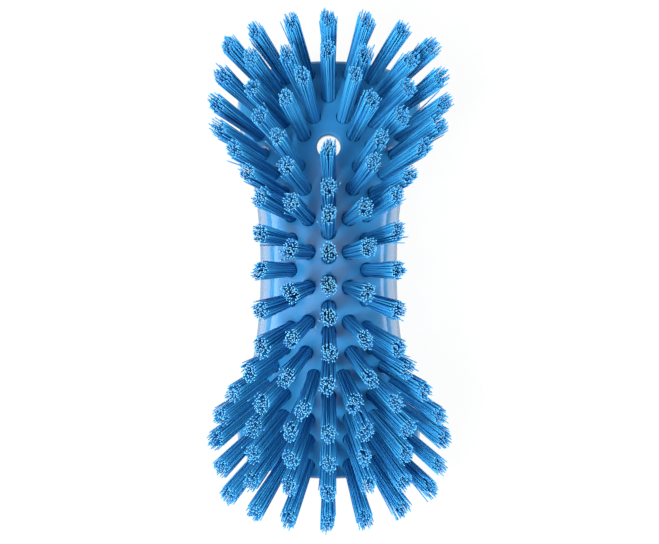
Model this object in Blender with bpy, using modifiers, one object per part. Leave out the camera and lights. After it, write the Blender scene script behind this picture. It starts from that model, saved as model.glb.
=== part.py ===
"""Scrub brush: a waisted, moulded block whose domed face carries fanned rows of bristle tufts.

Metres, +Z up. The brush lies on its back with its bristles up. X runs across it, and Y along it
with the hanging hole at +Y. The origin is in the middle of the back's flat.
"""
from math import copysign, cos, pi, radians, sin, tan

import bmesh
import bpy
from mathutils import Matrix, Vector
from mathutils.geometry import interpolate_bezier

CLEARANCE = 0.0003

# Block: its outline seen from above
BLOCK_LENGTH = 0.1345
WAIST_WIDTH = 0.0438
SHOULDER_WIDTH = 0.0590
SHOULDER_SETBACK = 0.01525
SHOULDER_STATION = BLOCK_LENGTH / 2 - SHOULDER_SETBACK
WAIST_SWEEP = 0.0340
SHOULDER_SWEEP = 0.0120
END_SWEEP = 0.0162

# Block: its heights and rounded edges
FACE_HEIGHT = 0.0340
FACE_RADIUS_ACROSS = 0.0330
FACE_RADIUS_ALONG = 0.1150
EDGE_INSET_WAIST = 0.0046
EDGE_INSET_END = 0.0015
SIDE_DRAFT = radians(12)
END_DRAFT = radians(1)
BACK_INSET = 0.0130
BACK_RISE_WAIST = 0.0120
BACK_RISE_END = 0.0060
DEEP_SIDE_STATION = 0.0120
THIN_SIDE_STATION = 0.0500

# Hanging hole, and the land left round it between the tuft rows
HOLE_DIAMETER = 0.0075
HOLE_STATION = 0.0395
HOLE_FLARE = 0.0008
LAND_MARGIN = 0.00165
LAND_HALF_WIDTH = HOLE_DIAMETER / 2 + LAND_MARGIN
LAND_TUFT_GAP = 0.0023

# Tuft field: the shallow seat in the face, and the slices of backing that fill it
FIELD_END_MARGIN = 0.00195
FIELD_WAIST_MARGIN = 0.0069
FIELD_SHOULDER_MARGIN = 0.0041
FIELD_SHOULDER_SETBACK = 0.0060
FIELD_WAIST_SWEEP = 0.0260
FIELD_SHOULDER_SWEEP = 0.0140
FIELD_END_SWEEP = 0.0180
SLICE_THICKNESS = 0.0015

# Tuft plan: how far its outermost tufts stay from the block's edge, and how much its rows bow
PLAN_END_MARGIN = 0.00445
PLAN_WAIST_MARGIN = 0.0101
PLAN_SHOULDER_MARGIN = 0.0077
ROW_BOW = 0.0057

# Tufts: each is a fan of strands standing out from focal lines below the face
TUFT_LENGTH = 0.0275
FAN_DEPTH_ACROSS = 0.0300
FAN_DEPTH_ALONG = 0.0860
STRANDS_AROUND = 4
STRAND_SIDES = 3
STRAND_RADIUS = 0.00078
TUFT_RING_AT_FOOT = 0.00140
TUFT_RING_AT_TIP = 0.00180
STRAND_SINK_SHARE = 0.6
TRIM_DEPTH = 0.0006
TRIM_SHARES = (0.0, 5 / 6, -2 / 3, 1 / 3, -1.0)

# The tuft plan, which stretches with the block. Each row has its name, where it ends towards -Y,
# and its tufts at and right of the centre line.
TUFT_ROWS = (
    ("tuft_row_01", 0.0584, ((0.0, 0.0628), (0.0068, 0.0625), (0.0137, 0.0614), (0.0193, 0.0578))),
    ("tuft_row_02", 0.0511, ((0.0, 0.0551), (0.0067, 0.0541), (0.0138, 0.0535), (0.0208, 0.0499))),
    ("tuft_row_03", 0.0452, ((0.0046, 0.0482), (0.0139, 0.0469), (0.0218, 0.0429))),
    ("tuft_row_04", 0.0355, ((0.0077, 0.0426), (0.0134, 0.0388), (0.0206, 0.0362))),
    ("tuft_row_05", 0.0307, ((0.0094, 0.0326), (0.0172, 0.0303))),
    ("tuft_row_06", 0.0230, ((0.0, 0.0283), (0.0075, 0.0255), (0.0142, 0.0240))),
    ("tuft_row_07", 0.0139, ((0.0, 0.0195), (0.0063, 0.0160), (0.0116, 0.0172))),
    ("tuft_row_08", 0.0079, ((0.0, 0.0117), (0.0116, 0.0093))),
    ("tuft_row_09", -0.0079, ((0.0, 0.0042), (0.0063, 0.0055), (0.0118, 0.0), (0.0063, -0.0055),
                              (0.0, -0.0038))),
    ("tuft_row_10", -0.0139, ((0.0, -0.0117), (0.0116, -0.0093))),
    ("tuft_row_11", -0.0230, ((0.0, -0.0195), (0.0063, -0.0163), (0.0116, -0.0182))),
    ("tuft_row_12", -0.0307, ((0.0, -0.0277), (0.0071, -0.0260), (0.0137, -0.0245))),
    ("tuft_row_13", -0.0365, ((0.0045, -0.0334), (0.0117, -0.0323), (0.0173, -0.0302))),
    ("tuft_row_14", -0.0433, ((0.0, -0.0397), (0.0067, -0.0394), (0.0138, -0.0391), (0.0202, -0.0362))),
    ("tuft_row_15", -0.0511, ((0.0, -0.0471), (0.0066, -0.0468), (0.0140, -0.0462), (0.0220, -0.0429))),
    ("tuft_row_16", -0.0584, ((0.0, -0.0547), (0.0067, -0.0537), (0.0139, -0.0533), (0.0208, -0.0499))),
    ("tuft_row_17", -0.0700, ((0.0, -0.0629), (0.0068, -0.0625), (0.0137, -0.0614), (0.0193, -0.0570))),
)
ROWS_SPLIT_BY_HOLE = {
    "tuft_row_03": CLEARANCE / 2,
    "tuft_row_04": LAND_HALF_WIDTH + CLEARANCE,
    "tuft_row_05": CLEARANCE / 2,
}
ROW_BESIDE_HOLE = "tuft_row_04"
PLAN_TOP_LIMIT = 0.0700

# Fineness of the curved surfaces
WAIST_STEPS = 14
END_STEPS = 12
BACK_STEPS = 6
EDGE_STEPS = 4
FACE_STEPS = 3
SPINE_SHARE = 0.65
LATTICE_COLUMNS = 7
LATTICE_ROWS = 17
ROW_LINE_STEPS = 6
HOLE_SIDES = 24
SHARP_ANGLE = pi / 5
MERGE_DISTANCE = 0.000001
TURN_MERGE_DISTANCE = 0.0001

# Reach of the cutters past what they cut
SEAT_OVERSHOOT = 0.0085
CUT_FLOOR = -0.0100
CUT_CEILING = FACE_HEIGHT + TUFT_LENGTH

BLOCK_BLUE = (0.045, 0.200, 0.520, 1.0)
BRISTLE_BLUE = (0.040, 0.260, 0.640, 1.0)


def face_z(x, y):
    """Height of the domed face over a point of the plan."""
    return FACE_HEIGHT - x * x / (2 * FACE_RADIUS_ACROSS) - y * y / (2 * FACE_RADIUS_ALONG)


def quarter_outline(waist, shoulder, station, length, sweeps):
    """A quarter of a waisted outline, from the waist's side to the middle of the +Y end."""
    waist_sweep, shoulder_sweep, end_sweep = sweeps
    side = Vector((waist / 2, 0))
    widest = Vector((shoulder / 2, station))
    end = Vector((0, length / 2))
    lengthwise = Vector((0, 1))
    crosswise = Vector((1, 0))
    flank = interpolate_bezier(side, side + lengthwise * waist_sweep,
                               widest - lengthwise * shoulder_sweep, widest, WAIST_STEPS + 1)
    corner = interpolate_bezier(widest, widest + lengthwise * shoulder_sweep,
                                end + crosswise * end_sweep, end, END_STEPS + 1)
    return flank[:-1] + [widest] + corner[1:-1] + [end]


def whole_outline(quarter):
    """The closed outline, anticlockwise from the right side of the waist."""
    right_top = [Vector((p.x, p.y)) for p in quarter]
    left_top = [Vector((-p.x, p.y)) for p in reversed(quarter[:-1])]
    left_bottom = [Vector((-p.x, -p.y)) for p in quarter[1:]]
    right_bottom = [Vector((p.x, -p.y)) for p in reversed(quarter[1:-1])]
    return right_top + left_top + left_bottom + right_bottom


def block_outline():
    return whole_outline(quarter_outline(WAIST_WIDTH, SHOULDER_WIDTH, SHOULDER_STATION, BLOCK_LENGTH,
                                         (WAIST_SWEEP, SHOULDER_SWEEP, END_SWEEP)))


def field_outline(inset):
    """The tuft field's outline, drawn in by an inset on every side."""
    waist = WAIST_WIDTH - 2 * (FIELD_WAIST_MARGIN + inset)
    shoulder = SHOULDER_WIDTH - 2 * (FIELD_SHOULDER_MARGIN + inset)
    station = SHOULDER_STATION - FIELD_SHOULDER_SETBACK
    length = BLOCK_LENGTH - 2 * (FIELD_END_MARGIN + inset)
    return whole_outline(quarter_outline(waist, shoulder, station, length,
                                         (FIELD_WAIST_SWEEP, FIELD_SHOULDER_SWEEP, FIELD_END_SWEEP)))


def drawn_holes():
    """The tuft plan's holes as drawn, at and right of the centre line."""
    return [hole for name, limit, row in TUFT_ROWS for hole in row]


def stretched_along(y):
    """A station of the tuft plan on this block."""
    drawn_end = max(hole_y for hole_x, hole_y in drawn_holes())
    return y * (BLOCK_LENGTH / 2 - PLAN_END_MARGIN) / drawn_end


def stretched_across(x, y):
    """A distance from the plan's centre line on this block, beside a station of the plan."""
    drawn_shoulder = max(hole_x for hole_x, hole_y in drawn_holes())
    drawn_waist = max(hole_x for hole_x, hole_y in drawn_holes() if hole_y == 0.0)
    at_waist = (WAIST_WIDTH / 2 - PLAN_WAIST_MARGIN) / drawn_waist
    at_shoulder = (SHOULDER_WIDTH / 2 - PLAN_SHOULDER_MARGIN) / drawn_shoulder
    share = min(abs(stretched_along(y)) / SHOULDER_STATION, 1.0)
    return x * (at_waist + (at_shoulder - at_waist) * share)


def eased(t):
    """A share held between 0 and 1, which starts and ends gently."""
    t = min(max(t, 0.0), 1.0)
    return t * t * (3 - 2 * t)


def blend_to_end(y, at_waist, at_end):
    """A value that changes smoothly from the deep waist to the thin ends."""
    t = (abs(y) - DEEP_SIDE_STATION) / (THIN_SIDE_STATION - DEEP_SIDE_STATION)
    return at_waist + (at_end - at_waist) * eased(t)


def drawn_in(point, inset):
    """A point of the block's outline moved inwards by an inset."""
    half_width = point.x if abs(point.y) <= SHOULDER_STATION else SHOULDER_WIDTH / 2
    return Vector((point.x * (1 - inset / abs(half_width)), point.y * (1 - inset / (BLOCK_LENGTH / 2))))


def back_rise(point):
    """Height of the widest line, where the rounded back ends and the drafted side starts."""
    return blend_to_end(point.y, BACK_RISE_WAIST, BACK_RISE_END)


def side_draft(point):
    """Slope of the side, which turns nearly upright round the block's ends."""
    t = (abs(point.y) - SHOULDER_STATION) / SHOULDER_SETBACK
    return SIDE_DRAFT + (END_DRAFT - SIDE_DRAFT) * eased(t)


def edge_profile(point):
    """Inset and height round the upper edge, from the top of the drafted side to the face.

    The edge is a curve between the side's line and the face's line, which meet in its corner.
    """
    draft = side_draft(point)
    inset = blend_to_end(point.y, EDGE_INSET_WAIST, EDGE_INSET_END)
    rise = back_rise(point)
    rim = drawn_in(point, inset)
    inwards = (rim - point).normalized()
    slope = -(rim.x / FACE_RADIUS_ACROSS * inwards.x + rim.y / FACE_RADIUS_ALONG * inwards.y)
    rim_z = face_z(rim.x, rim.y)
    corner_z = (rim_z - slope * (inset + rise * tan(draft))) / (1 - tan(draft) * slope)
    corner = Vector((tan(draft) * (corner_z - rise), corner_z))
    top = Vector((inset, rim_z))
    low = corner - Vector((sin(draft), cos(draft))) * (top - corner).length
    steps = []
    for k in range(EDGE_STEPS + 1):
        t = k / EDGE_STEPS
        steps.append(low * (1 - t) ** 2 + corner * 2 * t * (1 - t) + top * t * t)
    return steps


def back_profile(point):
    """Inset and height up the rounded back, from its flat to the side."""
    rise = back_rise(point)
    steps = []
    for k in range(BACK_STEPS + 1):
        turn = pi / 2 * k / BACK_STEPS
        steps.append((BACK_INSET * (1 - sin(turn)), rise * (1 - cos(turn))))
    return steps


def skin(bm, rings):
    """Bridge a row of closed rings that have the same number of points."""
    for low, high in zip(rings, rings[1:]):
        for k in range(len(low)):
            after = (k + 1) % len(low)
            bm.faces.new((low[k], low[after], high[after], high[k]))


def new_object(name, bm, collection, material=None):
    mesh = bpy.data.meshes.new(name)
    bm.to_mesh(mesh)
    bm.free()
    obj = bpy.data.objects.new(name, mesh)
    collection.objects.link(obj)
    if material is not None:
        mesh.materials.append(material)
    return obj


def as_tool(obj):
    """Mark an object as a cutter or guide."""
    obj.hide_render = True
    obj.display_type = "WIRE"
    return obj


def add_boolean(obj, other, operation, solver="EXACT"):
    modifier = obj.modifiers.new(operation.title() + "_" + other.name, "BOOLEAN")
    modifier.operation = operation
    modifier.solver = solver
    modifier.object = other


def shade_round(obj, angle):
    obj.data.shade_smooth()
    obj.data.set_sharp_from_angle(angle=angle)


def block_body():
    """The block before its seat and hole are cut: back, sides, upper edge and domed face."""
    outline = block_outline()
    bm = bmesh.new()
    profiles = [back_profile(p) + edge_profile(p) for p in outline]
    rings = []
    for level in range(len(profiles[0])):
        ring = []
        for point, profile in zip(outline, profiles):
            inset, z = profile[level]
            place = drawn_in(point, inset)
            ring.append(bm.verts.new((place.x, place.y, z)))
        rings.append(ring)
    bm.faces.new(reversed(rings[0]))
    rim = [v.co.copy() for v in rings[-1]]
    for step in range(1, FACE_STEPS + 1):
        share = step / FACE_STEPS
        ring = []
        for co in rim:
            x = co.x * (1 - share)
            y = co.y * (1 - share * (1 - SPINE_SHARE))
            ring.append(bm.verts.new((x, y, face_z(x, y))))
        rings.append(ring)
    skin(bm, rings)
    bmesh.ops.remove_doubles(bm, verts=bm.verts, dist=MERGE_DISTANCE)
    return bm


def slab(bottom, top):
    """A plate that follows the face, between two heights measured from it."""
    bm = bmesh.new()
    bmesh.ops.create_grid(bm, x_segments=LATTICE_COLUMNS, y_segments=LATTICE_ROWS, size=0.5)
    for v in bm.verts:
        v.co.x *= SHOULDER_WIDTH
        v.co.y *= BLOCK_LENGTH
        v.co.z = face_z(v.co.x, v.co.y) + bottom
    grown = bmesh.ops.extrude_face_region(bm, geom=bm.faces[:])
    for item in grown["geom"]:
        if isinstance(item, bmesh.types.BMVert):
            item.co.z += top - bottom
    bmesh.ops.recalc_face_normals(bm, faces=bm.faces)
    return bm


def prism(points, low, high):
    """An upright prism on a plan outline."""
    bm = bmesh.new()
    base = bm.faces.new([bm.verts.new((p[0], p[1], low)) for p in points])
    grown = bmesh.ops.extrude_face_region(bm, geom=[base])
    for item in grown["geom"]:
        if isinstance(item, bmesh.types.BMVert):
            item.co.z = high
    bmesh.ops.recalc_face_normals(bm, faces=bm.faces)
    return bm


def hole_cutter(tools):
    """The hanging hole: a turned profile with a flared mouth at the back.

    Half a step's turn keeps its corners off the block's centre line.
    """
    radius = HOLE_DIAMETER / 2
    profile = ((0.0, CUT_CEILING), (radius, CUT_CEILING), (radius, HOLE_FLARE),
               (radius + 2 * HOLE_FLARE, -HOLE_FLARE), (0.0, -HOLE_FLARE))
    bm = bmesh.new()
    verts = [bm.verts.new((x, 0.0, z)) for x, z in profile]
    for a, b in zip(verts, verts[1:]):
        bm.edges.new((a, b))
    obj = as_tool(new_object("hanging_hole_cutter", bm, tools))
    screw = obj.modifiers.new("Turn", "SCREW")
    screw.steps = screw.render_steps = HOLE_SIDES
    screw.use_merge_vertices = True
    screw.merge_threshold = TURN_MERGE_DISTANCE
    obj.location = (0.0, stretched_along(HOLE_STATION), 0.0)
    obj.rotation_euler = (0.0, 0.0, pi / HOLE_SIDES)
    return obj


def row_line(limit):
    """Points across the face along a row's end, bowed back towards the waist at the sides."""
    reach = SHOULDER_WIDTH / 2 - PLAN_SHOULDER_MARGIN
    points = []
    for k in range(ROW_LINE_STEPS + 1):
        x = SHOULDER_WIDTH * (k / ROW_LINE_STEPS - 0.5)
        bow = ROW_BOW * min(abs(x) / reach, 1.0) ** 3
        points.append((x, stretched_along(limit) - copysign(bow, limit)))
    return points


def strip_plan(low_limit, high_limit):
    """Plan outline of the strip of face that carries one row."""
    low = [(x, y + CLEARANCE / 2) for x, y in row_line(low_limit)]
    high = [(x, y - CLEARANCE / 2) for x, y in row_line(high_limit)]
    return low + high[::-1]


def add_strand(bm, foot, tip, outwards):
    """One bristle strand, a slender cone with a corner facing outwards."""
    along = (tip - foot).normalized()
    out = (outwards - along * outwards.dot(along)).normalized()
    aside = out.cross(along)
    turn = Matrix((aside, out, along)).transposed().to_4x4()
    bmesh.ops.create_cone(bm, cap_ends=True, segments=STRAND_SIDES, radius1=STRAND_RADIUS,
                          radius2=STRAND_RADIUS, depth=(tip - foot).length,
                          matrix=Matrix.Translation((foot + tip) / 2) @ turn)


def add_tuft(bm, x, y, number):
    """A tuft: one strand in the middle and a ring of strands that splay towards the tip."""
    root = Vector((x, y, face_z(x, y)))
    axis = Vector((x / FAN_DEPTH_ACROSS, y / FAN_DEPTH_ALONG, 1.0)).normalized()
    across = Vector((0.0, 1.0, 0.0)).cross(axis).normalized()
    along = axis.cross(across)
    for k in range(STRANDS_AROUND + 1):
        length = TUFT_LENGTH + TRIM_DEPTH * TRIM_SHARES[(k + number) % len(TRIM_SHARES)]
        turn = 2 * pi * (k + 0.5) / STRANDS_AROUND
        side = across * cos(turn) + along * sin(turn)
        spread = 0.0 if k == STRANDS_AROUND else 1.0
        foot = root - axis * STRAND_SINK_SHARE * SLICE_THICKNESS + side * TUFT_RING_AT_FOOT * spread
        tip = root + axis * length + side * TUFT_RING_AT_TIP * spread
        add_strand(bm, foot, tip, side)


def row_tufts(name, holes, side):
    """Places of a row's tufts on the whole face, or on its right (1) or left (-1) half."""
    nearest = LAND_HALF_WIDTH + LAND_TUFT_GAP if name == ROW_BESIDE_HOLE else 0.0
    places = []
    for drawn_x, drawn_y in holes:
        x = max(stretched_across(drawn_x, drawn_y), nearest)
        y = stretched_along(drawn_y)
        if side >= 0:
            places.append((x, y))
        if side <= 0 and x > 0:
            places.append((-x, y))
    return places


def land_plan():
    """The land round the hanging hole: it fills the row beside the hole from limit to limit."""
    limits = [PLAN_TOP_LIMIT] + [limit for name, limit, row in TUFT_ROWS]
    number = [name for name, limit, row in TUFT_ROWS].index(ROW_BESIDE_HOLE)
    low = stretched_along(limits[number + 1]) + CLEARANCE / 2
    high = stretched_along(limits[number]) - CLEARANCE / 2
    return box_plan(-LAND_HALF_WIDTH, LAND_HALF_WIDTH, low, high)


def make_row(name, low, high, places, field, land, tools, parts, material):
    """One row: a slice cut from the field's plate with the row's strands fused to it."""
    obj = new_object(name, prism(strip_plan(low, high), 0.0, CUT_CEILING), parts, material)
    add_boolean(obj, field, "INTERSECT")
    if land is not None:
        add_boolean(obj, land, "DIFFERENCE")
    bm = bmesh.new()
    for number, (x, y) in enumerate(places):
        add_tuft(bm, x, y, number)
    strands = as_tool(new_object(name + "_strands", bm, tools))
    add_boolean(obj, strands, "UNION")
    return obj


def make_material(name, colour, roughness):
    material = bpy.data.materials.new(name)
    material.use_nodes = True
    shader = material.node_tree.nodes["Principled BSDF"]
    shader.inputs["Base Color"].default_value = colour
    shader.inputs["Roughness"].default_value = roughness
    shader.inputs["Metallic"].default_value = 0.0
    material.diffuse_color = colour
    return material


def box_plan(x0, x1, y0, y1):
    return ((x0, y0), (x1, y0), (x1, y1), (x0, y1))


def make_block(parts, tools, material):
    """The block with its hanging hole and seat. At some widths, lengths and heights, the exact
    solver turns this domed body inside out, so its two cuts use the manifold solver.
    """
    block = new_object("block", block_body(), parts, material)
    seat = as_tool(new_object("seat_cutter", slab(-SLICE_THICKNESS - CLEARANCE, SEAT_OVERSHOOT), tools))
    field = as_tool(new_object("seat_outline", prism(field_outline(0.0), 0.0, CUT_CEILING), tools))
    land = as_tool(new_object("land_guide", prism(land_plan(), CUT_FLOOR, 2 * CUT_CEILING), tools))
    add_boolean(seat, field, "INTERSECT")
    add_boolean(seat, land, "DIFFERENCE")
    add_boolean(block, hole_cutter(tools), "DIFFERENCE", solver="MANIFOLD")
    add_boolean(block, seat, "DIFFERENCE", solver="MANIFOLD")
    shade_round(block, SHARP_ANGLE)
    return block


def make_rows(parts, tools, material):
    """All tuft rows; those beside the hanging hole are split into a right and a left piece."""
    plate = as_tool(new_object("field_plate", slab(-SLICE_THICKNESS, 0.0), tools))
    trimmed = as_tool(new_object("field_trim", prism(field_outline(CLEARANCE), 0.0, CUT_CEILING), tools))
    add_boolean(plate, trimmed, "INTERSECT")
    high = PLAN_TOP_LIMIT
    for name, low, holes in TUFT_ROWS:
        if name in ROWS_SPLIT_BY_HOLE:
            for label, side in (("right", 1), ("left", -1)):
                near, far = sorted((-side * SHOULDER_WIDTH, side * ROWS_SPLIT_BY_HOLE[name]))
                away = prism(box_plan(near, far, -BLOCK_LENGTH, BLOCK_LENGTH), CUT_FLOOR, 2 * CUT_CEILING)
                cutter = as_tool(new_object(name + "_not_" + label, away, tools))
                make_row(name + "_" + label, low, high, row_tufts(name, holes, side), plate, cutter,
                         tools, parts, material)
        else:
            make_row(name, low, high, row_tufts(name, holes, 0), plate, None, tools, parts, material)
        high = low


def main():
    for obj in list(bpy.data.objects):
        bpy.data.objects.remove(obj, do_unlink=True)
    parts = bpy.data.collections.new("scrub_brush")
    tools = bpy.data.collections.new("cutters")
    bpy.context.scene.collection.children.link(parts)
    bpy.context.scene.collection.children.link(tools)
    make_block(parts, tools, make_material("block_plastic", BLOCK_BLUE, 0.25))
    make_rows(parts, tools, make_material("bristle_plastic", BRISTLE_BLUE, 0.40))


main()
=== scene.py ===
"""Scrub brush: a glossy moulded block whose domed face carries fanned tufts of bristle.

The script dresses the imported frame: a finer block and finer tufts take the place of its nodes,
and it adds their finishes, the stage, the lamps and the camera. Metres, +Z up. The brush lies on
its back with its bristles up, X runs across it, and the hanging hole is at +Y.
"""

from math import cos, pi, radians, sin, sqrt, tan
from random import Random

import bmesh
import bpy
from bpy.props import FloatProperty, FloatVectorProperty, IntProperty, PointerProperty
from bpy.types import Operator, Panel, PropertyGroup
from mathutils import Matrix, Vector
from mathutils.geometry import interpolate_bezier


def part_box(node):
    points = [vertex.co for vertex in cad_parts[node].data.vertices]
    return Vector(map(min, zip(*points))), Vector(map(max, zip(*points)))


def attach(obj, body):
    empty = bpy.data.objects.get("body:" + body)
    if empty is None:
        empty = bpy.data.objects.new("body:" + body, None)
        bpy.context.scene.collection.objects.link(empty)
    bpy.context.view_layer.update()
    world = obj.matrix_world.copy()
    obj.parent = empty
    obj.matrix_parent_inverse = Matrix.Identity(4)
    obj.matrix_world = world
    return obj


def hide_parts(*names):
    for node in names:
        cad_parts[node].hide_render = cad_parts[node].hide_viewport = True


bl_info = {
    "name": "Scrub Brush",
    "version": (1, 0, 0),
    "blender": (4, 5, 0),
    "location": "3D View > Sidebar > Scrub Brush",
    "description": "Builds a waisted scrub brush with fanned tufts, its finishes and its studio",
    "category": "Add Mesh",
}

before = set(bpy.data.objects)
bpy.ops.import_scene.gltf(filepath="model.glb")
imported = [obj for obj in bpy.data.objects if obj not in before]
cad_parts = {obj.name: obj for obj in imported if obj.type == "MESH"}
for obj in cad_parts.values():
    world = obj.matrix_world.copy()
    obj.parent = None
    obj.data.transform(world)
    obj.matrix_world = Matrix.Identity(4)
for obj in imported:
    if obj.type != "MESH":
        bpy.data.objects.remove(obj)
BLOCK_LOW, BLOCK_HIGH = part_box("block")
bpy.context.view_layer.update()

# Block: how far the curves of its outline reach from the waist, the shoulders and the ends
WAIST_SWEEP = 0.0340
SHOULDER_SWEEP = 0.0120
END_SWEEP = 0.0162

# Block: its rounded edges, which differ between the deep waist and the thin ends
EDGE_INSET_WAIST = 0.0056
EDGE_INSET_END = 0.0015
SIDE_DRAFT = radians(12)
END_DRAFT = radians(1)
BACK_INSET = 0.0130
BACK_RISE_WAIST = 0.0120
BACK_RISE_END = 0.0060
DEEP_SIDE_STATION = 0.0120
THIN_SIDE_STATION = 0.0500
BACK_BORDER = 0.0020
HOLE_FLARE = 0.0008

# Tuft plan: how far its outermost holes stay from the block's edge
PLAN_END_MARGIN = 0.00445
PLAN_WAIST_MARGIN = 0.0101
PLAN_SHOULDER_MARGIN = 0.0077

# Each row of the plan has its name, whether the hanging hole splits it, and its holes at and
# right of the centre line. The left half is its mirror image.
TUFT_ROWS = (
    ("tuft_row_01", False, ((0.0, 0.0628), (0.0068, 0.0625), (0.0137, 0.0614), (0.0193, 0.0578))),
    ("tuft_row_02", False, ((0.0, 0.0551), (0.0067, 0.0541), (0.0138, 0.0535), (0.0208, 0.0499))),
    ("tuft_row_03", True, ((0.0046, 0.0482), (0.0139, 0.0469), (0.0218, 0.0429))),
    ("tuft_row_04", True, ((0.0077, 0.0426), (0.0134, 0.0388), (0.0206, 0.0362))),
    ("tuft_row_05", True, ((0.0094, 0.0326), (0.0172, 0.0303))),
    ("tuft_row_06", False, ((0.0, 0.0283), (0.0075, 0.0255), (0.0142, 0.0240))),
    ("tuft_row_07", False, ((0.0, 0.0195), (0.0063, 0.0160), (0.0116, 0.0172))),
    ("tuft_row_08", False, ((0.0, 0.0117), (0.0116, 0.0093))),
    ("tuft_row_09", False, ((0.0, 0.0042), (0.0063, 0.0055), (0.0118, 0.0), (0.0063, -0.0055),
                            (0.0, -0.0038))),
    ("tuft_row_10", False, ((0.0, -0.0117), (0.0116, -0.0093))),
    ("tuft_row_11", False, ((0.0, -0.0195), (0.0063, -0.0163), (0.0116, -0.0182))),
    ("tuft_row_12", False, ((0.0, -0.0277), (0.0071, -0.0260), (0.0137, -0.0245))),
    ("tuft_row_13", False, ((0.0045, -0.0334), (0.0117, -0.0323), (0.0173, -0.0302))),
    ("tuft_row_14", False, ((0.0, -0.0397), (0.0067, -0.0394), (0.0138, -0.0391),
                            (0.0202, -0.0362))),
    ("tuft_row_15", False, ((0.0, -0.0471), (0.0066, -0.0468), (0.0140, -0.0462),
                            (0.0220, -0.0429))),
    ("tuft_row_16", False, ((0.0, -0.0547), (0.0067, -0.0537), (0.0139, -0.0533),
                            (0.0208, -0.0499))),
    ("tuft_row_17", False, ((0.0, -0.0629), (0.0068, -0.0625), (0.0137, -0.0614),
                            (0.0193, -0.0570))),
)

# The pieces of a row: how their names end, and the sides of the centre line that they hold
LEFT, RIGHT = -1, 1
WHOLE_ROW = (("", (LEFT, RIGHT)),)
SPLIT_ROW = (("_left", (LEFT,)), ("_right", (RIGHT,)))

# How far each tuft's tip leans off the fan, across and along, in tenths of a millimetre: for each
# row, the tufts left of the centre line, and those on it and right of it, in the plan's order
LEAN_UNIT = 0.0001
TUFT_LEANS = {
    "tuft_row_01": {LEFT: ((-3, 3), (-3, -9), (4, 0)),
                    RIGHT: ((0, 6), (3, 6), (3, -3), (6, -6))},
    "tuft_row_02": {LEFT: ((-13, -8), (-6, -3), (16, -6)),
                    RIGHT: ((-3, -9), (-5, -8), (24, -12), (3, -12))},
    "tuft_row_03": {LEFT: ((0, -9), (3, -22), (16, -8)),
                    RIGHT: ((0, -6), (6, -19), (-6, -9))},
    "tuft_row_04": {LEFT: ((5, -9), (22, -12), (9, -9)),
                    RIGHT: ((-6, -12), (-9, -12), (-6, 3))},
    "tuft_row_05": {LEFT: ((12, -6), (6, -6)),
                    RIGHT: ((-9, -12), (-6, 0))},
    "tuft_row_06": {LEFT: ((9, -9), (3, -6)),
                    RIGHT: ((0, 9), (-3, 3), (-6, -15))},
    "tuft_row_07": {LEFT: ((3, 0), (0, 3)),
                    RIGHT: ((0, 0), (-6, -16), (-3, 9))},
    "tuft_row_08": {LEFT: ((3, -9),),
                    RIGHT: ((0, 17), (-3, 0))},
    "tuft_row_09": {LEFT: ((0, -9), (6, -3), (3, 0)),
                    RIGHT: ((0, 3), (3, -3), (-6, 0), (0, 0), (0, 0))},
    "tuft_row_10": {LEFT: ((3, -6),),
                    RIGHT: ((0, 8), (0, -6))},
    "tuft_row_11": {LEFT: ((6, 0), (6, -6)),
                    RIGHT: ((3, 0), (-6, -3), (3, -9))},
    "tuft_row_12": {LEFT: ((0, 3), (0, -6)),
                    RIGHT: ((-3, 3), (-3, 0), (-3, 6))},
    "tuft_row_13": {LEFT: ((3, -3), (3, -3), (6, -3)),
                    RIGHT: ((-3, 18), (-3, 0), (-6, 3))},
    "tuft_row_14": {LEFT: ((3, 3), (9, 6), (9, -6)),
                    RIGHT: ((0, 3), (-9, 3), (3, 0), (0, -6))},
    "tuft_row_15": {LEFT: ((0, 6), (6, 6), (16, 0)),
                    RIGHT: ((0, 0), (-7, 12), (-3, 6), (-12, 0))},
    "tuft_row_16": {LEFT: ((-6, 3), (-3, 3), (12, -6)),
                    RIGHT: ((-3, -3), (6, 6), (-3, 0), (-3, 3))},
    "tuft_row_17": {LEFT: ((-12, -6), (-3, -6), (5, -8)),
                    RIGHT: ((-3, -12), (-3, -9), (0, 3), (0, 12))},
}

# Tuft holes: how far they lie outwards of the plan, which fades out past the shoulders
FOOT_SHIFT = 0.0012
FOOT_SHIFT_FADE = 0.0100

# Holes: their rounded mouths, which start a little above the face so that the cut is clean
MOUTH_ROUND = 0.0003
MOUTH_LIFT = 0.00002
HANGING_ROUND = 0.0006
CUTTER_OVERSHOOT = 0.0015

# Strands: the shares of their length at which they bend, from inside the hole to the tip, and
# how much thinner the tip is
STRAND_STATIONS = (-0.10, 0.06, 0.35, 0.68, 1.0)
STRAND_SIDES = 6
TIP_TAPER = 0.15

# Tufts: how their tips are trimmed, from square to the tuft at 0 to level at 1, and spread
TRIM_LEVEL = 0.5
SPREAD_POWER = 1.1
SPREAD_JITTER = 0.10
TIP_TWIST = radians(35)
GOLDEN_TURN = pi * (3 - sqrt(5))

# Strands: how far they stray from their even places, how many stray widely, their random tones,
# and the painted shade that darkens a tuft's inner strands
PLACE_JITTER = 0.00008
TIP_JITTER = 0.00018
STRAY_SHARE = 0.05
STRAY_REACH = 0.0014
DARKEST_TONE = 0.25
INNER_PAINTED_SHADE = 0.9
SEED = 11

# Fineness of the curved surfaces, and the share of the block's length that its face's spine takes
WAIST_STEPS = 40
END_STEPS = 36
BACK_STEPS = 12
EDGE_STEPS = 8
FACE_STEPS = 24
SPINE_SHARE = 0.65
MOUTH_SIDES = 24
HANGING_SIDES = 64
MOUTH_STEPS = 3
MERGE_DISTANCE = 0.000001
BLOCK_SHARP_ANGLE = radians(40)
STRAND_SHARP_ANGLE = radians(75)

# Patterns of the finishes: their features a metre, and their levels of detail
CLOUDS = (45.0, 3.0)
WAVES = (160.0, 1.0)
GRAIN = (2600.0, 2.0)
MOTTLE = (900.0, 2.0)

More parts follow.
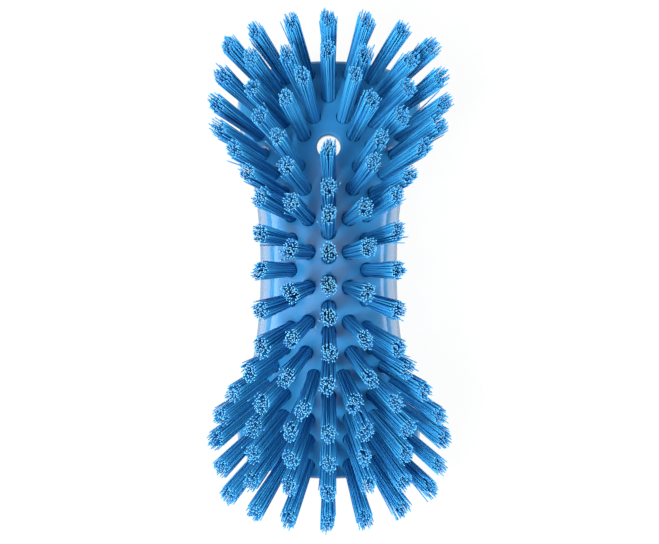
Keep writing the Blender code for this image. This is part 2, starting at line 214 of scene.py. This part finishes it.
# Moulded plastic: how much its patterns show in its colour, its gloss and its surface
CLOUD_CONTRAST = 0.10
GLOSS_CHANGE = 0.10
WAVE_HEIGHT = 0.00003
GRAIN_HEIGHT = 0.000004
BLOCK_SPECULAR = 0.38

# Filament: painted shade that darkens its strands towards the foot, painted light that pales them
# near the tip, its gloss, and how far light enters it
PALENESS_IN_PAINTED_FOOT_SHADE = 0.70
PAINTED_TIP_LIGHT = 0.42
PAINTED_TIP_LIGHT_POWER = 8
MOTTLE_CONTRAST = 0.06
STRAND_ROUGHNESS = 0.30
MOTTLE_ROUGHNESS = 0.10
CUT_ROUGHNESS = 0.20
STRAND_SPECULAR = 0.10
GLOW_SHARE = 0.10
GLOW_DEPTH = 0.0005
GLOW_REACH = (0.2, 0.6, 1.0)

# The sockets that take the two colours of a Mix node
FIRST_COLOUR = 6
SECOND_COLOUR = 7

# Floor, room and camera
WHITE = (1.0, 1.0, 1.0)
FLOOR_CELLS = 8
FLOOR_ROUGHNESS = 0.8
FLOOR_GLOW = 0.93
ROOM_COLOUR = (0.93, 0.96, 1.0)
CAMERA_PLACE = (0.00026, -0.00068)

# Each lamp has its name, its tilt from overhead and its turn round the brush in degrees, its
# distance, width and length, the setting that gives its power, its share of that power, and the
# kind of light that it leaves out
LAMPS = (
    ("top_panel", -8, 40, 1.8, 3.0, 3.0, "top_power", 1.0, None),
    ("key_panel", -25, 40, 1.6, 0.4, 0.4, "key_power", 1.0, "visible_glossy"),
    ("left_panel", -52, 0, 1.3, 0.6, 1.3, "side_power", 0.9, "visible_glossy"),
    ("right_panel", 52, 0, 1.3, 0.6, 1.3, "side_power", 1.1, "visible_glossy"),
    ("sheen_panel", -20, 0, 1.8, 3.0, 0.8, "sheen_power", 1.0, "visible_diffuse"),
    ("left_strip", -66, 0, 1.3, 0.6, 1.3, "strip_power", 1.0, "visible_diffuse"),
    ("right_strip", 70, 0, 1.3, 0.6, 1.3, "strip_power", 1.0, "visible_diffuse"),
)


class BlockSettings(PropertyGroup):
    """Sizes and finish of the moulded block."""

    length: FloatProperty(
        name="Length", description="Length of the block along its middle",
        default=BLOCK_HIGH.y - BLOCK_LOW.y, min=0.08, unit="LENGTH")
    shoulder_width: FloatProperty(
        name="Shoulder Width", description="Width of the block where it is widest",
        default=BLOCK_HIGH.x - BLOCK_LOW.x, min=0.03, unit="LENGTH")
    waist_width: FloatProperty(
        name="Waist Width", description="Width of the block in its middle",
        default=0.0438, min=0.02, unit="LENGTH")
    shoulder_setback: FloatProperty(
        name="Shoulder Setback", description="Distance of the widest place from each end",
        default=0.01525, min=0.005, unit="LENGTH")
    face_height: FloatProperty(
        name="Face Height", description="Height of the domed face in the middle",
        default=0.0340, min=0.02, unit="LENGTH")
    dome_across: FloatProperty(
        name="Dome Across", description="Radius of the face across the brush",
        default=0.0330, min=0.02, unit="LENGTH")
    dome_along: FloatProperty(
        name="Dome Along", description="Radius of the face along the brush",
        default=0.1150, min=0.05, unit="LENGTH")
    hole_diameter: FloatProperty(
        name="Hanging Hole", description="Diameter of the hanging hole",
        default=0.0075, min=0.003, unit="LENGTH")
    hole_station: FloatProperty(
        name="Hole Station", description="Distance of the hanging hole from the middle",
        default=0.0395, unit="LENGTH")
    colour: FloatVectorProperty(
        name="Colour", description="Colour of the moulded plastic",
        default=(0.030, 0.240, 0.520), min=0, max=1, subtype="COLOR")
    roughness: FloatProperty(
        name="Roughness", description="Roughness of the moulded plastic",
        default=0.14, min=0, max=1, subtype="FACTOR")


class TuftSettings(PropertyGroup):
    """Sizes and finish of the bristle tufts."""

    length: FloatProperty(
        name="Length", description="Length of a tuft above the face",
        default=0.0275, min=0.01, unit="LENGTH")
    fan_across: FloatProperty(
        name="Fan Depth Across", description="Depth below the face from which tufts fan sideways",
        default=0.0300, min=0.01, unit="LENGTH")
    fan_along: FloatProperty(
        name="Fan Depth Along", description="Depth below the face from which tufts fan lengthwise",
        default=0.0860, min=0.02, unit="LENGTH")
    strands: IntProperty(
        name="Strands", description="Strands in a tuft", default=72, min=7, max=90)
    strand_diameter: FloatProperty(
        name="Strand Diameter", description="Thickness of one strand",
        default=0.00044, min=0.0001, unit="LENGTH")
    foot_radius: FloatProperty(
        name="Foot Radius",
        description="Radius of a tuft at its foot, to its outermost strands' middles",
        default=0.00203, min=0.0005, unit="LENGTH")
    tip_radius_across: FloatProperty(
        name="Tip Radius Across", description="How far a tuft's tip spreads across the brush",
        default=0.00235, min=0.0005, unit="LENGTH")
    tip_radius_along: FloatProperty(
        name="Tip Radius Along", description="How far a tuft's tip spreads along the brush",
        default=0.00330, min=0.0005, unit="LENGTH")
    hole_diameter: FloatProperty(
        name="Hole Diameter", description="Diameter of the hole that holds a tuft",
        default=0.0046, min=0.001, unit="LENGTH")
    hole_depth: FloatProperty(
        name="Hole Depth", description="Depth of the hole that holds a tuft",
        default=0.0050, min=0.001, unit="LENGTH")
    raggedness: FloatProperty(
        name="Raggedness", description="How much the strands' lengths differ",
        default=0.0009, min=0, unit="LENGTH")
    # Colour of the darkest strands; the inner strands that come near it carry painted shade
    colour: FloatVectorProperty(
        name="Colour", description="Colour of the strands",
        default=(0.001, 0.090, 0.400), min=0, max=1, subtype="COLOR")
    pale_colour: FloatVectorProperty(
        name="Pale Colour", description="Colour of the palest strands",
        default=(0.085, 0.600, 1.000), min=0, max=1, subtype="COLOR")
    # The cut ends' colour, partly their own and partly a painted highlight of the light falling on
    # them from above
    cut_colour: FloatVectorProperty(
        name="Cut Colour", description="Colour of the strands' cut ends",
        default=(0.180, 0.570, 0.880), min=0, max=1, subtype="COLOR")


class StageSettings(PropertyGroup):
    """The floor, the lamps and the camera."""

    floor_width: FloatProperty(
        name="Floor Width", description="Width of the floor", default=6.0, min=1, unit="LENGTH")
    floor_colour: FloatVectorProperty(
        name="Floor Colour", description="Colour of the floor",
        default=(0.90, 0.90, 0.90), min=0, max=1, subtype="COLOR")
    camera_height: FloatProperty(
        name="Camera Height", description="Height of the camera above the floor",
        default=1.540, min=0.2, unit="LENGTH")
    camera_lens: FloatProperty(
        name="Lens", description="Focal length of the camera",
        default=259.5, min=20, unit="CAMERA")
    key_power: FloatProperty(
        name="Key Power", description="Power of the small panel that casts the shadows",
        default=22.0, min=0)
    top_power: FloatProperty(
        name="Top Power", description="Power of the large panel above", default=24.5, min=0)
    sheen_power: FloatProperty(
        name="Sheen Power", description="Power of the long panel above, seen in reflections only",
        default=10.0, min=0)
    side_power: FloatProperty(
        name="Side Power", description="Power of the panel on each side", default=9.0, min=0)
    strip_power: FloatProperty(
        name="Strip Power",
        description="Power of the strip on each side, seen in reflections only",
        default=18.0, min=0)
    world_strength: FloatProperty(
        name="Room Light", description="Light that comes from all round", default=0.05, min=0)


class Value:
    """A value that varies over a surface. Arithmetic on it adds Math nodes."""

    def __init__(self, graph, socket):
        self.graph = graph
        self.socket = socket

    def __add__(self, other):
        return self.graph.math("ADD", self, other)

    __radd__ = __add__

    def __rsub__(self, other):
        return self.graph.math("SUBTRACT", other, self)

    def __mul__(self, other):
        return self.graph.math("MULTIPLY", self, other)

    __rmul__ = __mul__

    def __pow__(self, other):
        return self.graph.math("POWER", self, other)


class Graph:
    """The nodes of a material."""

    def __init__(self, name):
        self.material = bpy.data.materials.new(name)
        self.material.use_nodes = True
        self.tree = self.material.node_tree
        self.shader = self.tree.nodes["Principled BSDF"]
        self.surface = self.tree.nodes["Material Output"].inputs["Surface"]

    def feed(self, socket, value):
        """Link a varying value to a socket, or set the socket to a constant."""
        if isinstance(value, Value):
            self.tree.links.new(value.socket, socket)
        else:
            socket.default_value = value

    def node(self, kind, settings=None, inputs=None, output=0):
        """Add a node with its settings and its sockets' values, and return one of its outputs."""
        made = self.tree.nodes.new("ShaderNode" + kind)
        for name, value in (settings or {}).items():
            setattr(made, name, value)
        for name, value in (inputs or {}).items():
            self.feed(made.inputs[name], value)
        return Value(self, made.outputs[output])

    def math(self, operation, first, second):
        return self.node("Math", {"operation": operation}, {0: first, 1: second})

    def mix(self, factor, first, second):
        """A blend of two colours."""
        inputs = {"Factor": factor, FIRST_COLOUR: first, SECOND_COLOUR: second}
        return self.node("Mix", {"data_type": "RGBA"}, inputs, "Result")

    def noise(self, place, scale, detail):
        inputs = {"Vector": place, "Scale": scale, "Detail": detail}
        return self.node("TexNoise", None, inputs, "Fac")

    def attribute(self, name):
        return self.node("Attribute", {"attribute_name": name}, None, "Fac")


def opaque(colour, brightness=1.0):
    """A colour with its alpha, made brighter or darker."""
    return (*(min(part * brightness, 1.0) for part in colour), 1.0)


def block_finish(block):
    """Glossy moulded plastic: faint flow clouds, a fine grain and a slightly uneven gloss."""
    graph = Graph("moulded_plastic")
    place = graph.node("TexCoord", None, None, "Object")
    clouds = graph.noise(place, *CLOUDS)
    grain = graph.noise(place, *GRAIN)
    waves = graph.noise(place, *WAVES)
    colour = graph.mix(clouds, opaque(block.colour, 1 - CLOUD_CONTRAST),
                       opaque(block.colour, 1 + CLOUD_CONTRAST))
    roughness = block.roughness + GLOSS_CHANGE * (clouds * grain)
    height = WAVE_HEIGHT * waves + GRAIN_HEIGHT * grain
    bump = graph.node("Bump", None, {"Height": height, "Distance": 1.0, "Strength": 1.0}, "Normal")
    graph.feed(graph.shader.inputs["Base Color"], colour)
    graph.feed(graph.shader.inputs["Roughness"], roughness)
    graph.feed(graph.shader.inputs["Specular IOR Level"], BLOCK_SPECULAR)
    graph.feed(graph.shader.inputs["Normal"], bump)
    return graph.material


def bristle_finish(tufts):
    """Drawn filament: each strand has its own tone, darkened by painted shade in the tuft's middle
    and towards its foot; tips are paler with painted light, and cut ends palest, partly as a
    painted highlight.
    """
    graph = Graph("drawn_filament")
    tone_and_painted_shade = graph.attribute("tone_and_painted_shade")
    along = graph.attribute("along")
    cut_end = graph.attribute("cut_end")
    place = graph.node("TexCoord", None, None, "Object")
    mottle = graph.noise(place, *MOTTLE)
    # Painted light on the last few millimetres of each strand, reaching even the inner strands'
    # sides near the tip
    painted_tip_light_mask = along ** PAINTED_TIP_LIGHT_POWER
    # Paleness of a strand's side: its tone, painted shade towards the foot, painted light near the
    # tip, and a random mottle
    paleness = (tone_and_painted_shade * (PALENESS_IN_PAINTED_FOOT_SHADE + (1 - PALENESS_IN_PAINTED_FOOT_SHADE) * along)
                + PAINTED_TIP_LIGHT * painted_tip_light_mask * (1 - tone_and_painted_shade) + MOTTLE_CONTRAST * mottle)
    side = graph.mix(paleness, opaque(tufts.colour), opaque(tufts.pale_colour))
    # Cut ends take their own colour, which is partly a painted highlight from above, and none of
    # the painted shade
    colour = graph.mix(cut_end, side, opaque(tufts.cut_colour))
    roughness = STRAND_ROUGHNESS + MOTTLE_ROUGHNESS * mottle + CUT_ROUGHNESS * cut_end
    graph.feed(graph.shader.inputs["Base Color"], colour)
    graph.feed(graph.shader.inputs["Roughness"], roughness)
    graph.feed(graph.shader.inputs["Specular IOR Level"], STRAND_SPECULAR)
    graph.feed(graph.shader.inputs["Subsurface Weight"], GLOW_SHARE)
    graph.feed(graph.shader.inputs["Subsurface Scale"], GLOW_DEPTH)
    graph.feed(graph.shader.inputs["Subsurface Radius"], GLOW_REACH)
    return graph.material


def floor_finish(stage):
    """A pale sweep: the camera and reflections see it nearly white, and it keeps soft shadows."""
    graph = Graph("pale_sweep")
    graph.feed(graph.shader.inputs["Base Color"], opaque(stage.floor_colour))
    graph.feed(graph.shader.inputs["Roughness"], FLOOR_ROUGHNESS)
    seen = graph.node("LightPath", None, None, "Is Camera Ray")
    path = seen.socket.node
    mirrored = Value(graph, path.outputs["Is Glossy Ray"])
    refracted = Value(graph, path.outputs["Is Transmission Ray"])
    glow = graph.node("Emission", None, {"Color": opaque(WHITE), "Strength": 1.0})
    lit = Value(graph, graph.shader.outputs["BSDF"])
    share = FLOOR_GLOW * (seen + mirrored + refracted)
    graph.feed(graph.surface, graph.node("MixShader", None, {0: share, 1: lit, 2: glow}))
    return graph.material


def face_height(block, x, y):
    """Height of the domed face over a point of the plan."""
    return block.face_height - x * x / (2 * block.dome_across) - y * y / (2 * block.dome_along)


def face_normal(block, x, y):
    return Vector((x / block.dome_across, y / block.dome_along, 1.0)).normalized()


def on_face(block, point):
    """The point of the face above or below a point."""
    return Vector((point.x, point.y, face_height(block, point.x, point.y)))


def shoulder_station(block):
    return block.length / 2 - block.shoulder_setback


def block_outline(block):
    """The block's closed outline, anticlockwise from the right side of the waist."""
    side = Vector((block.waist_width / 2, 0))
    widest = Vector((block.shoulder_width / 2, shoulder_station(block)))
    end = Vector((0, block.length / 2))
    lengthwise = Vector((0, 1))
    crosswise = Vector((1, 0))
    flank = interpolate_bezier(side, side + lengthwise * WAIST_SWEEP,
                               widest - lengthwise * SHOULDER_SWEEP, widest, WAIST_STEPS + 1)
    corner = interpolate_bezier(widest, widest + lengthwise * SHOULDER_SWEEP,
                                end + crosswise * END_SWEEP, end, END_STEPS + 1)
    quarter = flank[:-1] + [widest] + corner[1:-1] + [end]
    right_top = [Vector((p.x, p.y)) for p in quarter]
    left_top = [Vector((-p.x, p.y)) for p in reversed(quarter[:-1])]
    left_bottom = [Vector((-p.x, -p.y)) for p in quarter[1:]]
    right_bottom = [Vector((p.x, -p.y)) for p in reversed(quarter[1:-1])]
    return right_top + left_top + left_bottom + right_bottom


def eased(t):
    """A share held between 0 and 1, which starts and ends gently."""
    t = min(max(t, 0.0), 1.0)
    return t * t * (3 - 2 * t)


def blend_to_end(y, at_waist, at_end):
    """A value that changes smoothly from the deep waist to the thin ends."""
    t = (abs(y) - DEEP_SIDE_STATION) / (THIN_SIDE_STATION - DEEP_SIDE_STATION)
    return at_waist + (at_end - at_waist) * eased(t)


def side_draft(block, point):
    """Slope of the side, which turns nearly upright round the block's ends."""
    t = (abs(point.y) - shoulder_station(block)) / block.shoulder_setback
    return SIDE_DRAFT + (END_DRAFT - SIDE_DRAFT) * eased(t)


def drawn_in(block, point, inset):
    """A point of the outline moved inwards by an inset."""
    half_width = block.shoulder_width / 2
    if abs(point.y) <= shoulder_station(block):
        half_width = abs(point.x)
    return Vector((point.x * (1 - inset / half_width), point.y * (1 - inset / (block.length / 2))))


def side_profile(block, point):
    """Inset and height, from the back's flat up the rounded back and drafted side to the face."""
    rise = blend_to_end(point.y, BACK_RISE_WAIST, BACK_RISE_END)
    steps = [Vector((BACK_INSET + BACK_BORDER, 0.0))]
    for k in range(BACK_STEPS + 1):
        turn = pi / 2 * k / BACK_STEPS
        steps.append(Vector((BACK_INSET * (1 - sin(turn)), rise * (1 - cos(turn)))))
    inset = blend_to_end(point.y, EDGE_INSET_WAIST, EDGE_INSET_END)
    rim = drawn_in(block, point, inset)
    inwards = (rim - point).normalized()
    slope = -(rim.x / block.dome_across * inwards.x + rim.y / block.dome_along * inwards.y)
    rim_z = face_height(block, rim.x, rim.y)
    draft = side_draft(block, point)
    corner_z = (rim_z - slope * (inset + rise * tan(draft))) / (1 - tan(draft) * slope)
    corner = Vector((tan(draft) * (corner_z - rise), corner_z))
    top = Vector((inset, rim_z))
    low = corner - Vector((sin(draft), cos(draft))) * (top - corner).length
    for k in range(EDGE_STEPS + 1):
        t = k / EDGE_STEPS
        steps.append(low * (1 - t) ** 2 + corner * 2 * t * (1 - t) + top * t * t)
    return steps


def edges_round(bm, ring):
    return [bm.edges.get((a, b)) for a, b in zip(ring, ring[1:] + ring[:1])]


def next_ring(bm, ring):
    """Extrude a closed ring of vertices, and return the new ring in the same order."""
    grown = bmesh.ops.extrude_edge_only(bm, edges=edges_round(bm, ring))["geom"]
    fresh = {item for item in grown if isinstance(item, bmesh.types.BMVert)}
    return [next(e.other_vert(v) for e in v.link_edges if e.other_vert(v) in fresh) for v in ring]


def open_loft(bm, rings):
    """Extrude a capped circle through rings of places, and return its last ring of vertices."""
    circle = bmesh.ops.create_circle(bm, cap_ends=True, segments=len(rings[0]), radius=1.0)
    ring = circle["verts"]
    for number, places in enumerate(rings):
        if number:
            ring = next_ring(bm, ring)
        for vert, place in zip(ring, places):
            vert.co = place
    return ring


def loft(bm, rings):
    """A closed body through rings of places."""
    bmesh.ops.contextual_create(bm, geom=edges_round(bm, open_loft(bm, rings)))


def new_object(name, bm):
    mesh = bpy.data.meshes.new(name)
    bm.to_mesh(mesh)
    bm.free()
    obj = bpy.data.objects.new(name, mesh)
    bpy.context.scene.collection.objects.link(obj)
    return obj


def block_body(block):
    """The block before its holes are cut."""
    outline = block_outline(block)
    profiles = [side_profile(block, point) for point in outline]
    rings = []
    for level in range(len(profiles[0])):
        ring = []
        for point, profile in zip(outline, profiles):
            place = drawn_in(block, point, profile[level].x)
            ring.append(Vector((place.x, place.y, profile[level].y)))
        rings.append(ring)
    bm = bmesh.new()
    ring = open_loft(bm, rings)
    for step in range(1, FACE_STEPS + 1):
        share = step / FACE_STEPS
        ring = next_ring(bm, ring)
        for vert, place in zip(ring, rings[-1]):
            inner = Vector((place.x * (1 - share), place.y * (1 - share * (1 - SPINE_SHARE)), 0.0))
            vert.co = on_face(block, inner)
    bmesh.ops.remove_doubles(bm, verts=bm.verts, dist=MERGE_DISTANCE)
    bmesh.ops.recalc_face_normals(bm, faces=bm.faces)
    return new_object("moulded_block", bm)


def sides_of(direction):
    """Two directions square to a direction and to each other, the first of them level."""
    across = Vector((0.0, 1.0, 0.0)).cross(direction).normalized()
    return across, direction.cross(across)


def tuft_axis(tufts, x, y):
    return Vector((x / tufts.fan_across, y / tufts.fan_along, 1.0)).normalized()


def plan_place(block, drawn_x, drawn_y):
    """Where a hole of the plan lies on this block."""
    holes = [hole for *_, row in TUFT_ROWS for hole in row]
    drawn_end = max(y for x, y in holes)
    drawn_shoulder = max(x for x, y in holes)
    drawn_waist = max(x for x, y in holes if y == 0.0)
    y = drawn_y * (block.length / 2 - PLAN_END_MARGIN) / drawn_end
    at_waist = (block.waist_width / 2 - PLAN_WAIST_MARGIN) / drawn_waist
    at_shoulder = (block.shoulder_width / 2 - PLAN_SHOULDER_MARGIN) / drawn_shoulder
    share = min(abs(y) / shoulder_station(block), 1.0)
    return drawn_x * (at_waist + (at_shoulder - at_waist) * share), y


def row_tufts(block, tufts, name, holes, sides):
    """Roots, axes and leans of a row's tufts on the given sides of the centre line."""
    leans = {side: iter(row) for side, row in TUFT_LEANS[name].items()}
    found = []
    for hole in holes:
        x, y = plan_place(block, *hole)
        shift = FOOT_SHIFT * (1 - eased((abs(y) - shoulder_station(block)) / FOOT_SHIFT_FADE))
        for side in (RIGHT,) if x == 0.0 else sides:
            axis = tuft_axis(tufts, side * x, y)
            root = on_face(block, Vector((side * x, y, 0.0)) + axis * shift)
            lean = Vector((*next(leans[side]), 0.0)) * LEAN_UNIT
            found.append((root, axis, lean))
    return found


def mouth_rings(place_at, radius, rounding):
    """Rings of a rounded mouth, from above the face down to where its bore starts."""
    rings = [place_at(radius + rounding, CUTTER_OVERSHOOT)]
    for k in range(MOUTH_STEPS + 1):
        turn = pi / 2 * k / MOUTH_STEPS
        depth = rounding * (1 - cos(turn))
        rings.append(place_at(radius + rounding * (1 - sin(turn)), MOUTH_LIFT - depth))
    return rings


def turns(sides):
    """Angles round a circle, half a step off its start."""
    return [2 * pi * (k + 0.5) / sides for k in range(sides)]


def circle_round(middle, direction, radius):
    """Places on a circle round a middle, square to a direction."""
    across, along = sides_of(direction)
    return [middle + (across * cos(t) + along * sin(t)) * radius for t in turns(MOUTH_SIDES)]


def add_tuft_hole(bm, block, tufts, root, axis):
    """The shape of a blind tuft hole, with a rounded mouth in the face."""
    normal = face_normal(block, root.x, root.y)
    radius = tufts.hole_diameter / 2

    def place_at(size, height):
        return [on_face(block, p) + normal * height for p in circle_round(root, normal, size)]

    deepest = circle_round(root - axis * tufts.hole_depth, axis, radius)
    loft(bm, mouth_rings(place_at, radius, MOUTH_ROUND) + [deepest])


def add_hanging_hole(bm, block):
    """The shape of the hanging hole, with a rounded mouth in the face and another in the back."""
    radius = block.hole_diameter / 2
    normal = face_normal(block, 0.0, block.hole_station)

    def circle(size):
        return [Vector((size * cos(t), block.hole_station + size * sin(t), 0.0))
                for t in turns(HANGING_SIDES)]

    def on_top(size, height):
        return [on_face(block, p) + normal * height for p in circle(size)]

    def on_back(size, height):
        return [p - Vector((0.0, 0.0, height)) for p in circle(size)]

    lower = mouth_rings(on_back, radius, HOLE_FLARE)
    loft(bm, mouth_rings(on_top, radius, HANGING_ROUND) + lower[::-1])


def smooth(obj, angle):
    obj.data.shade_smooth()
    obj.data.set_sharp_from_angle(angle=angle)


def cut_holes(body, block, tufts):
    """Cut every hole from the block's body."""
    bm = bmesh.new()
    for name, _, holes in TUFT_ROWS:
        for root, axis, _ in row_tufts(block, tufts, name, holes, (LEFT, RIGHT)):
            add_tuft_hole(bm, block, tufts, root, axis)
    add_hanging_hole(bm, block)
    bmesh.ops.recalc_face_normals(bm, faces=bm.faces)
    cutter = new_object("hole_cutter", bm)
    modifier = body.modifiers.new("Holes", "BOOLEAN")
    modifier.operation = "DIFFERENCE"
    modifier.solver = "MANIFOLD"
    modifier.object = cutter
    depsgraph = bpy.context.evaluated_depsgraph_get()
    mesh = bpy.data.meshes.new_from_object(body.evaluated_get(depsgraph))
    body.modifiers.clear()
    body.data = mesh
    bpy.data.objects.remove(cutter, do_unlink=True)
    if len(mesh.polygons) < MOUTH_SIDES * len(TUFT_ROWS):
        raise RuntimeError("the holes weren't cut from the block")
    smooth(body, BLOCK_SHARP_ANGLE)


def straight_strand():
    """A strand of unit radius whose rings stand at 0, 1, 2 and so on, closed at both ends."""
    bm = bmesh.new()
    corners = [2 * pi * k / STRAND_SIDES for k in range(STRAND_SIDES)]
    levels = range(len(STRAND_STATIONS))
    loft(bm, [[Vector((cos(t), sin(t), level)) for t in corners] for level in levels])
    bmesh.ops.recalc_face_normals(bm, faces=bm.faces)
    mesh = bpy.data.meshes.new("straight_strand")
    bm.to_mesh(mesh)
    bm.free()
    return mesh


def tip_shape(tufts, rng):
    """Half widths of a tuft's tip across and along the brush, and how far the tip is turned."""
    return (tufts.tip_radius_across * (1 + SPREAD_JITTER * rng.uniform(-1, 1)),
            tufts.tip_radius_along * (1 + SPREAD_JITTER * rng.uniform(-1, 1)),
            TIP_TWIST * rng.uniform(-1, 1))


def strand_path(tufts, root, axis, lean, tip, number, rng):
    """Middles of one strand's rings, from inside its hole to its tip."""
    across, along = sides_of(axis)
    share = sqrt((number + 0.5) / tufts.strands)
    turn = number * GOLDEN_TURN
    side = across * cos(turn) + along * sin(turn)
    jitter = across * rng.uniform(-1, 1) + along * rng.uniform(-1, 1)
    splay = across * rng.gauss(0, 1) + along * rng.gauss(0, 1)
    stray = STRAY_REACH * rng.random() if rng.random() < STRAY_SHARE else 0.0
    tip_across, tip_along, twist = tip
    tip_radius = tip_across * cos(turn - twist) ** 2 + tip_along * sin(turn - twist) ** 2
    trim = axis.lerp(Vector((0.0, 0.0, 1.0)), TRIM_LEVEL).normalized()
    length = tufts.length - tip_radius * share * side.dot(trim) / axis.dot(trim)
    length += tufts.raggedness * rng.uniform(-1, 1)
    path = []
    for station in STRAND_STATIONS:
        t = max(station, 0.0)
        radius = tufts.foot_radius + (tip_radius - tufts.foot_radius) * t ** SPREAD_POWER
        place = root + axis * (length * station) + side * (radius * share + stray * t * t)
        place += jitter * PLACE_JITTER + splay * (TIP_JITTER * t * t) + lean * t
        path.append(place)
    return path


def add_strand(bm, strand, path, radius, axis, tone_and_painted_shade, turn):
    """Bend a copy of the straight strand along a path, and note its tone with its painted shade,
    and its cut end.
    """
    tone_and_painted_shade_layer = bm.verts.layers.float["tone_and_painted_shade"]
    along_layer = bm.verts.layers.float["along"]
    cut_layer = bm.faces.layers.float["cut_end"]
    vert_count = len(bm.verts)
    face_count = len(bm.faces)
    bm.from_mesh(strand)
    bm.verts.ensure_lookup_table()
    bm.faces.ensure_lookup_table()
    across, along = sides_of(axis)
    top = len(path) - 1
    first = across * cos(turn) + along * sin(turn)
    second = axis.cross(first)
    for face in bm.faces[face_count:]:
        face[cut_layer] = float(all(round(v.co.z) == top for v in face.verts))
    for vert in bm.verts[vert_count:]:
        level = round(vert.co.z)
        vert[tone_and_painted_shade_layer] = tone_and_painted_shade
        vert[along_layer] = max(STRAND_STATIONS[level], 0.0)
        width = radius * (1 - TIP_TAPER) if level == top else radius
        vert.co = path[level] + (first * vert.co.x + second * vert.co.y) * width


def tuft_row(name, placed, tufts, strand, seed):
    """One piece for a row: every strand of its tufts."""
    bm = bmesh.new()
    bm.verts.layers.float.new("tone_and_painted_shade")
    bm.verts.layers.float.new("along")
    bm.faces.layers.float.new("cut_end")
    for number, (root, axis, lean) in enumerate(placed):
        rng = Random(seed + number)
        tip = tip_shape(tufts, rng)
        for k in range(tufts.strands):
            path = strand_path(tufts, root, axis, lean, tip, k, rng)
            # A random tone for each strand, darkened further towards the tuft's middle as painted
            # shade
            tone_and_painted_shade = rng.uniform(DARKEST_TONE, 1) * (k / tufts.strands) ** INNER_PAINTED_SHADE
            turn = rng.uniform(0, pi)
            add_strand(bm, strand, path, tufts.strand_diameter / 2, axis, tone_and_painted_shade, turn)
    return new_object(name, bm)


def finish_piece(obj, material, node):
    """Give a piece its material, and let it stand for a node of the frame."""
    obj.data.materials.clear()
    obj.data.materials.append(material)
    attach(obj, "root")
    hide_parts(node)


class BRUSH_OT_block(Operator):
    """Build the moulded block with its tuft holes and its hanging hole"""

    bl_idname = "brush.build_block"
    bl_label = "Build Block"

    def execute(self, context):
        block = context.scene.brush_block
        body = block_body(block)
        cut_holes(body, block, context.scene.brush_tufts)
        finish_piece(body, block_finish(block), "block")
        return {"FINISHED"}


class BRUSH_OT_tufts(Operator):
    """Build the rows of bristle tufts"""

    bl_idname = "brush.build_tufts"
    bl_label = "Build Tufts"

    def execute(self, context):
        block = context.scene.brush_block
        tufts = context.scene.brush_tufts
        material = bristle_finish(tufts)
        strand = straight_strand()
        seed = SEED
        for name, split, holes in TUFT_ROWS:
            for ending, sides in SPLIT_ROW if split else WHOLE_ROW:
                placed = row_tufts(block, tufts, name, holes, sides)
                piece = name.replace("tuft", "bristle") + ending
                row = tuft_row(piece, placed, tufts, strand, seed)
                smooth(row, STRAND_SHARP_ANGLE)
                finish_piece(row, material, name + ending)
                seed += len(placed)
        bpy.data.meshes.remove(strand)
        return {"FINISHED"}


def add_lamp(stage, name, tilt, turn, distance, width, length, power, share, left_out):
    """A soft lamp that hangs at a tilt from overhead, turned round the brush, and faces it."""
    data = bpy.data.lights.new(name, "AREA")
    data.shape = "RECTANGLE"
    data.size = width
    data.size_y = length
    data.energy = share * getattr(stage, power)
    lamp = bpy.data.objects.new(name, data)
    lamp.matrix_world = (Matrix.Rotation(radians(turn), 4, "Z")
                         @ Matrix.Rotation(radians(tilt), 4, "Y")
                         @ Matrix.Translation((0.0, 0.0, distance)))
    if left_out:
        setattr(lamp, left_out, False)
    bpy.context.scene.collection.objects.link(lamp)


class BRUSH_OT_stage(Operator):
    """Lay the pale floor, light the brush and place the camera"""

    bl_idname = "brush.build_stage"
    bl_label = "Build Stage"

    def execute(self, context):
        stage = context.scene.brush_stage
        bm = bmesh.new()
        bmesh.ops.create_grid(bm, x_segments=FLOOR_CELLS, y_segments=FLOOR_CELLS,
                              size=stage.floor_width / 2)
        floor = new_object("floor", bm)
        floor.data.materials.append(floor_finish(stage))
        for lamp in LAMPS:
            add_lamp(stage, *lamp)
        world = bpy.data.worlds.new("studio_room")
        world.use_nodes = True
        background = world.node_tree.nodes["Background"]
        background.inputs["Color"].default_value = opaque(ROOM_COLOUR)
        background.inputs["Strength"].default_value = stage.world_strength
        context.scene.world = world
        data = bpy.data.cameras.new("product_camera")
        data.lens = stage.camera_lens
        camera = bpy.data.objects.new("product_camera", data)
        camera.location = (*CAMERA_PLACE, stage.camera_height)
        context.scene.collection.objects.link(camera)
        context.scene.camera = camera
        context.scene.view_settings.view_transform = "Standard"
        return {"FINISHED"}


class BRUSH_PT_panel(Panel):
    """Settings and build steps of the scrub brush"""

    bl_label = "Scrub Brush"
    bl_space_type = "VIEW_3D"
    bl_region_type = "UI"
    bl_category = "Scrub Brush"

    def draw(self, context):
        scene = context.scene
        for settings, operator in ((scene.brush_block, BRUSH_OT_block),
                                   (scene.brush_tufts, BRUSH_OT_tufts),
                                   (scene.brush_stage, BRUSH_OT_stage)):
            box = self.layout.box()
            for name in settings.__annotations__:
                box.prop(settings, name)
            box.operator(operator.bl_idname)


CLASSES = (BlockSettings, TuftSettings, StageSettings, BRUSH_OT_block, BRUSH_OT_tufts,
           BRUSH_OT_stage, BRUSH_PT_panel)


def register():
    for cls in CLASSES:
        bpy.utils.register_class(cls)
    bpy.types.Scene.brush_block = PointerProperty(type=BlockSettings)
    bpy.types.Scene.brush_tufts = PointerProperty(type=TuftSettings)
    bpy.types.Scene.brush_stage = PointerProperty(type=StageSettings)


def unregister():
    del bpy.types.Scene.brush_stage
    del bpy.types.Scene.brush_tufts
    del bpy.types.Scene.brush_block
    for cls in reversed(CLASSES):
        bpy.utils.unregister_class(cls)


def main():
    register()
    bpy.ops.brush.build_block()
    bpy.ops.brush.build_tufts()
    bpy.ops.brush.build_stage()


if __name__ == "__main__":
    main()
